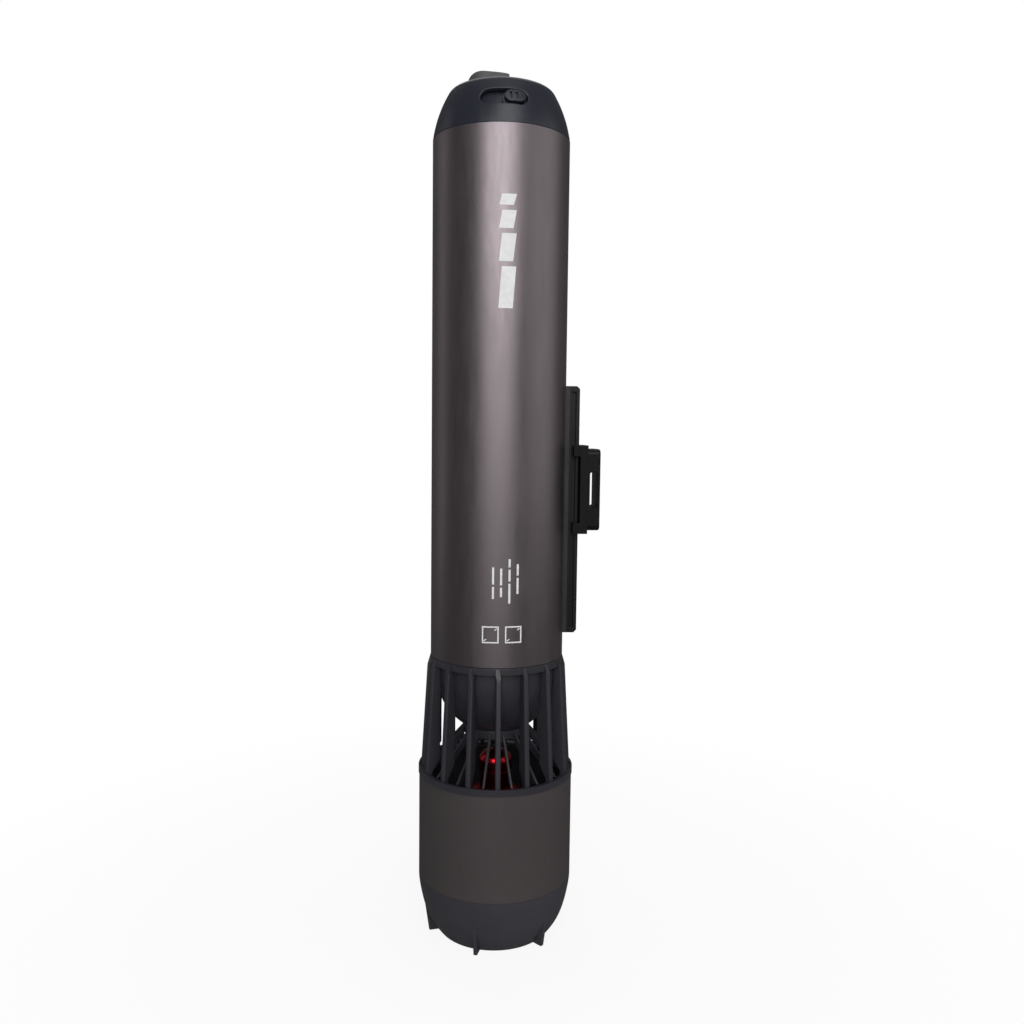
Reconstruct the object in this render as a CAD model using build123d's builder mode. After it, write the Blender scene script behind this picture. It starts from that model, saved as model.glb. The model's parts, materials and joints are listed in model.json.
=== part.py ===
from build123d import *
import os
from math import asin, atan2, cos, degrees, hypot, radians, sin, sqrt

os.makedirs("parts", exist_ok=True)

# An underwater scooter, standing on its thrust nozzle with the nose up.
# The origin is on the hull axis in the plane of the nozzle's rim. +Z points to the nose,
# +X to the accessory rail and -Y to the side with the power switch. Millimetres.

# ------------------------------------------------------------------ driving dimensions
# Hull stack, upwards from the nozzle's rim
nozzle_height = 32.0
sleeve_height = 58.6
flange_height = 3.6
cage_height = 63.5
tube_length = 279.7

# Sealed tube
tube_r = 37.0
tube_wall = 2.0
fit_gap = 0.05
spigot_length = 16.0

# Nose cap
nose_side_r = 64.0
nose_lean = 8.0
crown_r = 80.0
crown_height = 30.0
shoulder_r = 5.0
nose_wall = 5.2

# O-rings
oring_width = 2.2
oring_depth = 1.8
oring_squeeze = 0.2
groove_wall = 2.2

# Power switch, which slides round the nose
slot_rise = 14.0
slot_width = 24.0
slot_tall = 8.6
slot_depth = 3.2
slot_rim_r = 0.6
undercut_depth = 1.2
undercut_margin = 1.4
knob_width = 10.8
knob_tall = 6.6
knob_proud = 0.4
foot_margin = 1.0
foot_thick = 0.6
play = 0.3
knob_end_gap = 0.8
notch_length = 4.2
notch_width = 1.1
notch_pitch = 3.1
notch_offset = 0.9
notch_depth = 0.6
magnet_r = 1.6
magnet_thick = 1.4

# Charging port and its hinged flap
port_x = -4.0
port_r = 6.0
port_depth = 6.0
socket_r = 8.0
socket_height = 9.0
charge_pin_r = 0.8
charge_pin_pitch = 4.0
charge_pin_tail = 2.0
charge_pin_tip = 0.3
flap_half_width = 11.0
flap_toe_x = -18.5
flap_peak_x = -8.0
flap_rise = 3.65
flap_toe_lift = 2.4
flap_shoulder_run = 3.2
flap_shoulder_drop = 0.6
flap_slope_run = 11.5
flap_slope_drop = 1.55
finger_groove_r = 1.5
hinge_x = 11.5
hinge_sink = 1.3
hinge_pin_r = 0.9
knuckle_r = 2.1
knuckle_half = 6.0
lug_width = 2.4
seal_r = 7.0
seal_hole_r = 4.4

# Tail bowl and intake cage
bowl_wall = 2.5
ring_width = 3.0
ring_height = 3.9
ring_proud = 0.15
bowl_floor_r = 17.6
bowl_centre_drop = 10.75
rib_count = 16
rib_thick = 3.0
rib_inner_step = 2.7
rib_top_step = 1.85
rib_foot_step = 1.0
rib_tip_length = 6.2

# Guard over the duct's mouth
guard_ring_r = 18.2
guard_ring_width = 3.4
guard_ring_height = 4.8
guard_ring_shelf = 1.1
spoke_width = 1.2
spoke_depth = 5.4

# Duct, whose sleeve stands out from the tube by sleeve_step
sleeve_step = 6.2
sleeve_wall = 1.4
liner_wall = 1.2
liner_gap = 3.0
flange_lip_step = 0.4
flange_lip_width = 0.9
flange_floor_drop = 0.8
flange_spigot = 2.0

# Nozzle and feet
rim_step = 11.2
rim_wall = 2.6
foot_count = 6
foot_turn = -17.0
foot_thickness = 2.0
foot_top_step = 3.0
foot_top_z = 15.4
foot_tip_step = 5.34

# Motor and propeller
shaft_r = 2.5
running_gap = 0.02
bearing_r = 6.0
bearing_height = 4.0
carrier_wall = 1.2
stator_r = 12.4
stator_height = 20.0
stator_tooth = 2.0
stator_teeth = 12
magnet_gap = 0.5
magnet_depth = 1.2
magnet_count = 14
bell_wall = 1.2
bell_bottom_z = 50.0
hub_wall = 1.6
hub_height = 24.0
blade_count = 5
blade_tip_gap = 0.9
blade_thick = 2.2
spinner_r = 9.4
spinner_top_z = 102.4
spinner_cap_height = 12.0
spinner_step = 0.7
mount_gap = 0.6
mount_height = 33.0
mount_tip_r = 5.0
vane_count = 5
vane_thick = 3.0
vane_bottom_z = 24.0
vane_height = 20.0

# Rail, shoe and strap block on the +X side
rail_bottom_z = 171.0
rail_length = 136.5
rail_pad_thick = 1.5
rail_neck_depth = 3.75
rail_head_depth = 1.9
rail_head_half = 7.5
rail_neck_half = 5.0
rail_end_wall = 3.0
rail_screw_count = 4
rail_screw_r = 1.5
rail_screw_head_r = 2.9
rail_screw_head_depth = 2.2
rail_screw_head_tall = 1.8
rail_hex_r = 1.25
rail_foot_thick = 1.2
rail_end_chamfer = 1.6
rail_side_chamfer = 0.5
hex_depth = 1.2
boss_depth = 3.4
boss_half = 5.0
boss_skin = 0.6
shoe_bottom_z = 226.8
shoe_length = 48.5
shoe_half = 12.5
shoe_rise = 4.55
claw_height = 6.0
claw_lip = 1.2
block_bottom_z = 228.6
block_length = 44.7
block_depth = 6.8
strap_bottom_z = 241.0
strap_length = 19.5
strap_floor = 1.1
strap_thick = 4.25
shoe_screw_r = 1.25
shoe_screw_head_r = 2.2
shoe_screw_head_depth = 2.0
shoe_hex_r = 1.0
block_corner_r = 3.0
block_edge_r = 1.0
strap_corner_r = 0.8

# Battery, electronics
cell_r = 10.6
cell_length = 70.2
cells_per_layer = 3
cell_pitch_r = 12.6
holder_gap = 0.5
holder_height = 8.0
holder_mid_height = 14.0
pack_bottom_z = 196.0
cell_seat = 4.0
rod_r = 1.5
rod_nut_r = 3.1
rod_nut_tall = 2.4
rod_end = 4.0
board_thick = 1.6
board_half = 26.0
board_gap = 8.0
chip_tall = 2.0
radio_board_r = 24.0
radio_rise = 6.0
speed_board_r = 19.0
speed_rise = 3.0
speed_mid = (0, -2)
capacitor_r = 5.0
capacitor_height = 16.0
capacitor_pitch = 13.0

# ------------------------------------------------------------------ derived heights
sleeve_z = nozzle_height
flange_z = sleeve_z + sleeve_height
cage_z = flange_z + flange_height
tube_z = cage_z + cage_height
seam_z = tube_z + tube_length
bore_r = tube_r - tube_wall
rod_ring_r = bore_r - boss_depth - rod_nut_r
bowl_r = tube_r - ring_width
bowl_floor_drop = sqrt(bowl_r**2 - bowl_floor_r**2)

# ------------------------------------------------------------------ derived radii and depths
sleeve_r = tube_r + sleeve_step
sleeve_bore_r = sleeve_r - sleeve_wall
duct_r = sleeve_bore_r - liner_gap - liner_wall
flange_lip_r = sleeve_r + flange_lip_step
rib_inner_r = tube_r - rib_inner_step
rib_top_r = tube_r + rib_top_step
rib_foot_r = sleeve_r - rib_foot_step
rim_r = sleeve_r - rim_step
foot_top_r = sleeve_r - foot_top_step
foot_tip_r = sleeve_r - foot_tip_step
rail_pad_x = tube_r + rail_pad_thick
rail_head_x = rail_pad_x + rail_neck_depth
rail_top_x = rail_head_x + rail_head_depth
shoe_top_x = rail_top_x + shoe_rise
block_top_x = shoe_top_x + block_depth
strap_low_x = shoe_top_x + strap_floor


# ------------------------------------------------------------------ helpers
def outline(*points):
    """A closed outline of (radius, height) points in the plane through the hull axis."""
    with BuildSketch(Plane.XZ) as drawn:
        with BuildLine():
            Polyline(*points, close=True)
        make_face()
    return drawn.sketch


def box_ring(inner, outer, low, high):
    """The rectangular section of a plain ring."""
    return outline((inner, low), (outer, low), (outer, high), (inner, high))


def oring_section(height):
    """The section of an O-ring squeezed in its groove at a height."""
    with BuildSketch(Plane.XZ) as drawn:
        with Locations((bore_r - oring_depth / 2, height)):
            RectangleRounded(oring_depth, oring_width - oring_squeeze, oring_depth * 0.45)
    return drawn.sketch


def nose_outline(inset, floor):
    """The nose's half section, drawn in by inset all over, down to the height floor."""
    side_x = tube_r - nose_side_r * cos(radians(nose_lean))
    side_z = seam_z - nose_side_r * sin(radians(nose_lean))
    crown_z = seam_z + crown_height - crown_r
    side = nose_side_r - inset
    crown = crown_r - inset
    span = hypot(side_x, side_z - crown_z)
    along = (crown**2 - side**2 + span**2) / (2 * span)
    across = sqrt(crown**2 - along**2)
    ux, uz = side_x / span, (side_z - crown_z) / span
    corner = (along * ux + across * uz, crown_z + along * uz - across * ux)
    foot = (side_x + sqrt(side**2 - (floor - side_z) ** 2), floor)
    half = 0.5 * (degrees(atan2(corner[1] - side_z, corner[0] - side_x)))
    half += 0.5 * degrees(asin((floor - side_z) / side))
    mid = (side_x + side * cos(radians(half)), side_z + side * sin(radians(half)))
    lean = 0.5 * asin(corner[0] / crown)
    top = (crown * sin(lean), crown_z + crown * cos(lean))
    with BuildSketch(Plane.XZ) as drawn:
        with BuildLine():
            ThreePointArc(foot, mid, corner)
            ThreePointArc(corner, top, (0, crown_z + crown))
            Polyline((0, crown_z + crown), (0, floor), foot)
        make_face()
        shoulder = drawn.vertices().sort_by_distance((corner[0], corner[1], 0))[0]
        fillet(shoulder, max(shoulder_r - inset, 0.8))
    return drawn.sketch


def nose_shape(inset, floor):
    """The solid nose, smaller by inset all over."""
    with BuildPart() as turned:
        revolve(nose_outline(inset, floor), axis=Axis.Z)
    return turned.part


def save(builder, label):
    builder.part.label = label
    export_step(builder.part, f"parts/{label}.step")


def crown_height_at(x):
    """Height of the crown's surface at a distance x from the axis."""
    return seam_z + crown_height - crown_r + sqrt(crown_r**2 - x**2)


def racetrack(plane, width, tall):
    """A racetrack-shaped bar through the nose's wall, square to a plane on its surface."""
    with BuildPart() as bar:
        with BuildSketch(plane.offset(-slot_depth - nose_wall)):
            SlotOverall(width, tall)
        extrude(amount=slot_depth + 2 * nose_wall)
    return bar.part


def pin_row(start_x, length, radius, mid_z, spacing, count, sides=0):
    """A row of rods along X, spaced up the hull, or of prisms where they have sides."""
    with BuildPart() as row:
        with BuildSketch(Plane.YZ.offset(start_x)):
            with Locations((0, mid_z)):
                with GridLocations(0, spacing, 1, count):
                    if sides:
                        RegularPolygon(radius, sides)
                    else:
                        Circle(radius)
        extrude(amount=length)
    return row.part


def disc_row(low_z, height, radius, pitch, count, mid=(0, 0)):
    """A row of upright rods along X."""
    with BuildPart() as row:
        with BuildSketch(Plane.XY.offset(low_z)):
            with Locations(mid):
                with GridLocations(pitch, 0, count, 1):
                    Circle(radius)
        extrude(amount=height)
    return row.part


# ------------------------------------------------------------------ switch planes
slot_tilt = degrees(asin(slot_rise / nose_side_r + sin(radians(nose_lean))))
slot_r = tube_r - nose_side_r * (cos(radians(nose_lean)) - cos(radians(slot_tilt)))
knob_turn = degrees(asin((slot_width / 2 - knob_end_gap - knob_width / 2) / slot_r))
slot_plane = Plane(
    origin=(0, -slot_r, seam_z + slot_rise),
    x_dir=(1, 0, 0),
    z_dir=(0, -cos(radians(slot_tilt)), sin(radians(slot_tilt))),
)
knob_plane = Plane(Rot(0, 0, knob_turn) * slot_plane.location)


def on_slot_rim(edge):
    """Whether an edge lies where the slot breaks through the nose's surface."""
    places = [slot_plane.to_local_coords(edge @ share) for share in (0, 0.5, 1)]
    return all(
        abs(place.X) < slot_width / 2 + play
        and abs(place.Y) < slot_tall / 2 + play
        and place.Z > play - slot_depth
        for place in places
    )


# ------------------------------------------------------------------ sealed tube
rail_mid_z = rail_bottom_z + rail_length / 2
rail_screw_row = (rail_mid_z, rail_length / rail_screw_count, rail_screw_count)
rail_screw_tip_x = bore_r - boss_depth + boss_skin
with BuildPart() as body_tube:
    revolve(box_ring(bore_r, tube_r, tube_z, seam_z), axis=Axis.Z)
    boss_low_z = max(rail_bottom_z, tube_z + spigot_length + 1.0)
    with BuildSketch(Plane.XY.offset(boss_low_z)):
        with Locations((bore_r - boss_depth / 2 + tube_wall / 4, 0)):
            Rectangle(boss_depth + tube_wall / 2, 2 * boss_half)
    extrude(amount=rail_bottom_z + rail_length - boss_low_z)
    add(pin_row(rail_screw_tip_x, tube_r, rail_screw_r, *rail_screw_row), mode=Mode.SUBTRACT)
save(body_tube, "body_tube")

# ------------------------------------------------------------------ nose cap
flat_z = crown_height_at(abs(port_x) + socket_r + 1.0) - 0.1
hinge_z = crown_height_at(hinge_x) - hinge_sink
spigot_r = bore_r - fit_gap
spigot_bore_r = bore_r - oring_depth - groove_wall
groove_z = seam_z - spigot_length / 2
with BuildPart() as slot_cutter:
    add(racetrack(slot_plane, slot_width, slot_tall))
    add(nose_shape(slot_depth, seam_z), mode=Mode.SUBTRACT)
with BuildPart() as undercut_cutter:
    add(racetrack(slot_plane, slot_width + 2 * undercut_margin, slot_tall + 2 * undercut_margin))
    add(nose_shape(slot_depth, seam_z), mode=Mode.SUBTRACT)
    add(nose_shape(slot_depth - undercut_depth, seam_z), mode=Mode.INTERSECT)
with BuildPart() as nose_cap:
    add(nose_shape(0, seam_z))
    revolve(box_ring(0, spigot_r, seam_z - spigot_length, seam_z), axis=Axis.Z)
    add(nose_shape(nose_wall, seam_z), mode=Mode.SUBTRACT)
    revolve(box_ring(0, spigot_bore_r, seam_z - spigot_length, seam_z + 1), axis=Axis.Z, mode=Mode.SUBTRACT)
    groove_low, groove_high = groove_z - oring_width / 2, groove_z + oring_width / 2
    revolve(box_ring(bore_r - oring_depth, tube_r, groove_low, groove_high), axis=Axis.Z, mode=Mode.SUBTRACT)
    add(slot_cutter.part, mode=Mode.SUBTRACT)
    add(undercut_cutter.part, mode=Mode.SUBTRACT)
    fillet(nose_cap.edges().filter_by(on_slot_rim), slot_rim_r)
    # flat seat and well for the charging socket, under the flap
    with BuildSketch(Plane.XY.offset(flat_z)):
        with Locations((port_x, 0)):
            Circle(socket_r + 1.0)
    extrude(amount=crown_r - sqrt(crown_r**2 - socket_r**2) + 4, mode=Mode.SUBTRACT)
    with BuildSketch(Plane.XY.offset(flat_z - socket_height)):
        with Locations((port_x, 0)):
            Circle(socket_r)
    extrude(amount=socket_height + 1, mode=Mode.SUBTRACT)
    # pocket for the flap's knuckle between the two hinge lugs
    with BuildSketch(Plane.XZ):
        with Locations((hinge_x, hinge_z)):
            Circle(knuckle_r + 2 * play)
        with Locations((hinge_x + 1.2, hinge_z + 2.0)):
            Rectangle(2 * knuckle_r + 4.0, 4.0)
    extrude(amount=knuckle_half + play, both=True, mode=Mode.SUBTRACT)
    with BuildSketch(Plane.XZ):
        with Locations((hinge_x, hinge_z)):
            Circle(hinge_pin_r)
    extrude(amount=knuckle_half + lug_width, both=True, mode=Mode.SUBTRACT)
save(nose_cap, "nose_cap")

with BuildPart() as nose_oring:
    revolve(oring_section(groove_z), axis=Axis.Z)
save(nose_oring, "nose_oring")

# ------------------------------------------------------------------ switch knob and magnet
with BuildPart() as knob_post:
    add(racetrack(knob_plane, knob_width, knob_tall))
    add(nose_shape(slot_depth - play, seam_z), mode=Mode.SUBTRACT)
    add(nose_shape(-knob_proud, seam_z - 1), mode=Mode.INTERSECT)
with BuildPart() as knob_foot:
    add(racetrack(knob_plane, knob_width + 2 * foot_margin, knob_tall + 2 * (foot_margin + play)))
    add(nose_shape(slot_depth - play, seam_z), mode=Mode.SUBTRACT)
    add(nose_shape(slot_depth - play - foot_thick, seam_z), mode=Mode.INTERSECT)
with BuildPart() as switch_magnet:
    with BuildSketch(knob_plane.offset(-slot_depth - 1)):
        Circle(magnet_r)
    extrude(amount=magnet_thick + 1)
    add(nose_shape(slot_depth - play, seam_z), mode=Mode.SUBTRACT)
with BuildPart() as switch_knob:
    add(knob_post.part)
    add(knob_foot.part)
    add(switch_magnet.part, mode=Mode.SUBTRACT)
    with BuildSketch(knob_plane.offset(-notch_depth)):
        with Locations((-notch_offset, 0)):
            with GridLocations(notch_pitch, 0, 2, 1):
                SlotOverall(notch_length, notch_width, rotation=90)
    extrude(amount=slot_depth, mode=Mode.SUBTRACT)
save(switch_knob, "switch_knob")
save(switch_magnet, "switch_magnet")

# ------------------------------------------------------------------ charging socket
socket_z = flat_z - socket_height
with BuildPart() as charge_socket:
    with BuildSketch(Plane.XY.offset(socket_z)):
        with Locations((port_x, 0)):
            Circle(socket_r)
    extrude(amount=socket_height)
    with BuildSketch(Plane.XY.offset(flat_z)):
        with Locations((port_x, 0)):
            Circle(port_r)
    extrude(amount=-port_depth, mode=Mode.SUBTRACT)
    add(disc_row(socket_z, socket_height, charge_pin_r, charge_pin_pitch, 2, (port_x, 0)), mode=Mode.SUBTRACT)
save(charge_socket, "charge_socket")

with BuildPart() as charge_pins:
    pin_length = charge_pin_tail + socket_height - port_depth + charge_pin_tip
    add(disc_row(socket_z - charge_pin_tail, pin_length, charge_pin_r, charge_pin_pitch, 2, (port_x, 0)))
save(charge_pins, "charge_pins")

# ------------------------------------------------------------------ port flap, seal and pin
flap_bottom = nose_shape(-play, seam_z - 1)
arm_x = hinge_x - knuckle_r - play
peak_z = seam_z + crown_height + flap_rise
toe_z = crown_height_at(flap_toe_x)
with BuildPart() as port_flap:
    with BuildSketch(Plane.XZ):
        with BuildLine():
            Spline(
                (flap_toe_x, toe_z + flap_toe_lift),
                (flap_toe_x + flap_shoulder_run, peak_z - flap_shoulder_drop),
                (flap_peak_x, peak_z),
                (flap_peak_x + flap_slope_run, peak_z - flap_slope_drop),
                (hinge_x, hinge_z + knuckle_r),
                tangents=[(0.45, 1), (1, -0.04)],
            )
            Polyline(
                (hinge_x, hinge_z + knuckle_r),
                (hinge_x, hinge_z),
                (hinge_x - 1, hinge_z - 3),
                (flap_toe_x + 1.5, toe_z - 3),
                (flap_toe_x, toe_z + flap_toe_lift),
            )
        make_face()
    extrude(amount=flap_half_width, both=True)
    with BuildSketch(Plane.XY.offset(seam_z)):
        with Locations(((flap_toe_x + hinge_x) / 2, 0)):
            RectangleRounded(hinge_x - flap_toe_x, 2 * flap_half_width, 9.0)
    extrude(amount=60, mode=Mode.INTERSECT)
    add(flap_bottom, mode=Mode.SUBTRACT)
    with BuildSketch(Plane.XZ):
        with Locations((flap_toe_x, toe_z + play)):
            Circle(finger_groove_r)
    extrude(amount=flap_half_width, both=True, mode=Mode.SUBTRACT)
    with BuildSketch(Plane.XZ):
        with Locations((hinge_x, hinge_z)):
            Circle(knuckle_r)
        with BuildLine():
            Polyline(
                (hinge_x, hinge_z + knuckle_r),
                (arm_x, crown_height_at(arm_x) + play + 1.2),
                (arm_x, crown_height_at(arm_x) + play),
                (hinge_x, hinge_z),
                close=True,
            )
        make_face()
    extrude(amount=knuckle_half, both=True)
    with BuildSketch(Plane.XZ):
        with Locations((hinge_x, hinge_z)):
            Circle(hinge_pin_r + running_gap)
    extrude(amount=flap_half_width, both=True, mode=Mode.SUBTRACT)
save(port_flap, "port_flap")

with BuildPart() as port_seal:
    with BuildSketch(Plane.XY.offset(flat_z + play)):
        with Locations((port_x, 0)):
            Circle(seal_r)
            Circle(seal_hole_r, mode=Mode.SUBTRACT)
    extrude(amount=20)
    add(flap_bottom, mode=Mode.INTERSECT)
save(port_seal, "port_seal")

with BuildPart() as flap_hinge_pin:
    with BuildSketch(Plane.XZ):
        with Locations((hinge_x, hinge_z)):
            Circle(hinge_pin_r)
    extrude(amount=knuckle_half + lug_width, both=True)
save(flap_hinge_pin, "flap_hinge_pin")

# ------------------------------------------------------------------ tail bowl
bowl_z = tube_z - bowl_centre_drop
bowl_floor_z = bowl_z - bowl_floor_drop
tail_groove_z = tube_z + spigot_length / 2
lead_r = 1.2
gland_wall = 2.2
gland_length = 4.0
lead_rib_step = 0.6
lead_bowl_reach = 12.0
lead_inner_y = bowl_r - lead_bowl_reach
lead_hole_r = lead_r + 0.1
lead_low_z = vane_bottom_z + vane_height / 2
lead_duct_y = (sleeve_bore_r + duct_r + liner_wall) / 2
lead_rib_y = tube_r - lead_rib_step
lead_exit_z = bowl_z + 2.0


def lead_path(inner_low_y, inner_high_y):
    """The motor lead's route: out along a vane, up the duct's wall and the rear rib, into the bowl."""
    with BuildLine() as route:
        FilletPolyline(
            (0, inner_low_y, lead_low_z),
            (0, lead_duct_y, lead_low_z),
            (0, lead_duct_y, flange_z - 1.0),
            (0, lead_rib_y, cage_z + 14.0),
            (0, lead_rib_y, lead_exit_z),
            (0, inner_high_y, lead_exit_z),
            radius=4.0,
        )
    return route.wires()[0]


def lead_tube(radius, inner_low_y, inner_high_y):
    """A round rod of the given radius along the lead's route."""
    with BuildPart() as rod:
        with BuildLine():
            add(lead_path(inner_low_y, inner_high_y))
        with BuildSketch(Plane(origin=(0, inner_low_y, lead_low_z), z_dir=(0, 1, 0))):
            Circle(radius)
        sweep()
    return rod.part


lead_hole = lead_tube(lead_hole_r, 0.0, lead_inner_y)
inner_r = bowl_r - bowl_wall
inner_floor_z = bowl_floor_z + bowl_wall
inner_floor_r = sqrt(inner_r**2 - (bowl_z - inner_floor_z) ** 2)
with BuildPart() as tail_bulkhead:
    with BuildSketch(Plane.XZ):
        with BuildLine():
            half_turn = asin((bowl_z - bowl_floor_z) / bowl_r) / 2
            Line((0, bowl_floor_z), (bowl_floor_r, bowl_floor_z))
            ThreePointArc(
                (bowl_floor_r, bowl_floor_z),
                (bowl_r * cos(half_turn), bowl_z - bowl_r * sin(half_turn)),
                (bowl_r, bowl_z),
            )
            Polyline(
                (bowl_r, bowl_z),
                (bowl_r, tube_z),
                (bore_r - fit_gap, tube_z),
                (bore_r - fit_gap, tail_groove_z - oring_width / 2),
                (bore_r - oring_depth, tail_groove_z - oring_width / 2),
                (bore_r - oring_depth, tail_groove_z + oring_width / 2),
                (bore_r - fit_gap, tail_groove_z + oring_width / 2),
                (bore_r - fit_gap, tube_z + spigot_length),
                (spigot_bore_r, tube_z + spigot_length),
                (spigot_bore_r, tube_z + 1),
                (inner_r, tube_z - 1),
                (inner_r, bowl_z),
            )
            half_turn = asin((bowl_z - inner_floor_z) / inner_r) / 2
            ThreePointArc(
                (inner_r, bowl_z),
                (inner_r * cos(half_turn), bowl_z - inner_r * sin(half_turn)),
                (inner_floor_r, inner_floor_z),
            )
            Polyline((inner_floor_r, inner_floor_z), (0, inner_floor_z), (0, bowl_floor_z))
        make_face()
    revolve(axis=Axis.Z)
    add(lead_hole, mode=Mode.SUBTRACT)
save(tail_bulkhead, "tail_bulkhead")

with BuildPart() as tail_oring:
    revolve(oring_section(tail_groove_z), axis=Axis.Z)
save(tail_oring, "tail_oring")

# ------------------------------------------------------------------ intake cage
with BuildPart() as cage_ring:
    revolve(box_ring(bowl_r, tube_r + ring_proud, tube_z - ring_height, tube_z), axis=Axis.Z)
save(cage_ring, "cage_ring")

flange_floor_z = cage_z - flange_floor_drop
with BuildPart() as duct_flange:
    lip_r = flange_lip_r - flange_lip_width
    with BuildSketch(Plane.XZ):
        with BuildLine():
            Polyline(
                (duct_r, flange_z + 0.4),
                (duct_r, flange_z - flange_spigot),
                (sleeve_bore_r, flange_z - flange_spigot),
                (sleeve_bore_r, flange_z),
                (flange_lip_r, flange_z),
                (flange_lip_r, cage_z),
                (lip_r, cage_z),
                (lip_r - 0.4, flange_floor_z),
                (duct_r + flange_floor_z - flange_z - 0.4, flange_floor_z),
            )
            ThreePointArc(
                (duct_r + flange_floor_z - flange_z - 0.4, flange_floor_z),
                (duct_r + 0.7, flange_z + 1.7),
                (duct_r, flange_z + 0.4),
            )
        make_face()
    revolve(axis=Axis.Z)
    add(lead_hole, mode=Mode.SUBTRACT)
save(duct_flange, "duct_flange")

cone_top_z = bowl_floor_z - guard_ring_shelf
rib_pitch = 360 / rib_count
cone_slope = (cone_top_z - flange_floor_z) / (duct_r + 1.6 - guard_ring_r)
with BuildPart() as rib:
    knee_z = cone_top_z - cone_slope * (rib_inner_r - guard_ring_r) + 3.0
    extrude(
        outline(
            (rib_inner_r, knee_z),
            (sleeve_bore_r - 3.0, flange_floor_z + 1.5),
            (sleeve_bore_r - 3.0, flange_floor_z - 0.2),
            (rib_foot_r, flange_floor_z - 0.2),
            (rib_top_r, tube_z - rib_tip_length),
            (tube_r + ring_proud, tube_z - 0.5),
            (bowl_r + 0.3, tube_z - 0.5),
            (rib_inner_r, tube_z - ring_height),
        ),
        amount=rib_thick / 2,
        both=True,
    )
    fillet(rib.edges().filter_by(lambda e: e.center().X > 39.5 and e.length > 40), rib_thick * 0.35)
    with BuildSketch(Plane.YZ.offset(bowl_r)):
        with BuildLine():
            Polyline(
                (0.2, tube_z),
                (rib_thick / 2 + 0.1, tube_z - rib_tip_length),
                (rib_thick / 2 + 0.1, tube_z),
                close=True,
            )
        make_face()
        mirror(about=Plane.XZ)
    extrude(amount=20, mode=Mode.SUBTRACT)
    add(cage_ring.part, mode=Mode.SUBTRACT)
    add(duct_flange.part, mode=Mode.SUBTRACT)

with BuildPart() as conduit:
    extrude(
        outline(
            (rib_inner_r - 2.2, knee_z + 2.0),
            (rib_inner_r, knee_z),
            (sleeve_bore_r - 3.6, flange_floor_z + 1.5),
            (sleeve_bore_r - 3.6, flange_floor_z - 0.2),
            (rib_foot_r, flange_floor_z - 0.2),
            (rib_top_r, tube_z - rib_tip_length),
            (tube_r + ring_proud, tube_z - 0.5),
            (bowl_r, tube_z - ring_height),
            (bowl_r, bowl_z - 8),
            (rib_inner_r - 2.2, bowl_z - 14),
        ),
        amount=lead_hole_r + 1.4,
        both=True,
    )
    add(cage_ring.part, mode=Mode.SUBTRACT)
    add(duct_flange.part, mode=Mode.SUBTRACT)
    add(tail_bulkhead.part, mode=Mode.SUBTRACT)

with BuildPart() as intake_ribs:
    with PolarLocations(0, rib_count - 1, start_angle=90 + rib_pitch, angular_range=360 - rib_pitch):
        add(rib.part)
save(intake_ribs, "intake_ribs")

with BuildPart() as lead_rib:
    add(conduit.part.rotate(Axis.Z, 90))
    add(lead_hole, mode=Mode.SUBTRACT)
save(lead_rib, "lead_rib")

# ------------------------------------------------------------------ guard over the duct's mouth
with BuildPart() as guard_ring:
    guard_bore_r = guard_ring_r - guard_ring_width
    revolve(box_ring(guard_bore_r, guard_ring_r, bowl_floor_z - guard_ring_height, bowl_floor_z), axis=Axis.Z)
save(guard_ring, "guard_ring")

with BuildPart() as spoke:
    top_x = guard_ring_r - 1.0
    low_x = duct_r + 2.4
    top_z = cone_top_z + cone_slope
    low_z = cone_top_z - cone_slope * (low_x - guard_ring_r)
    extrude(
        outline(
            (top_x, top_z - spoke_depth),
            (low_x, low_z - spoke_depth),
            (low_x, low_z),
            (top_x, top_z),
        ),
        amount=spoke_width / 2,
        both=True,
    )
    revolve(box_ring(0, guard_ring_r, bowl_floor_z - 9, bowl_floor_z + 9), axis=Axis.Z, mode=Mode.SUBTRACT)
    revolve(box_ring(0, 60, flange_z - 9, flange_floor_z), axis=Axis.Z, mode=Mode.SUBTRACT)
with BuildPart() as guard_spokes:
    with PolarLocations(0, rib_count, start_angle=rib_pitch / 2):
        add(spoke.part)
save(guard_spokes, "guard_spokes")

# ------------------------------------------------------------------ duct
with BuildPart() as duct_sleeve:
    revolve(box_ring(sleeve_bore_r, sleeve_r, sleeve_z, flange_z), axis=Axis.Z)
save(duct_sleeve, "duct_sleeve")

nozzle_spigot = 6.0
with BuildPart() as duct_liner:
    revolve(box_ring(duct_r, duct_r + liner_wall, vane_bottom_z - 1, flange_z - flange_spigot), axis=Axis.Z)
    add(lead_hole, mode=Mode.SUBTRACT)
save(duct_liner, "duct_liner")

with BuildPart() as foot:
    extrude(
        outline((rim_r - 1, 0), (foot_tip_r, 0), (foot_top_r, foot_top_z), (foot_top_r - 1, foot_top_z)),
        amount=foot_thickness / 2,
        both=True,
    )

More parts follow.
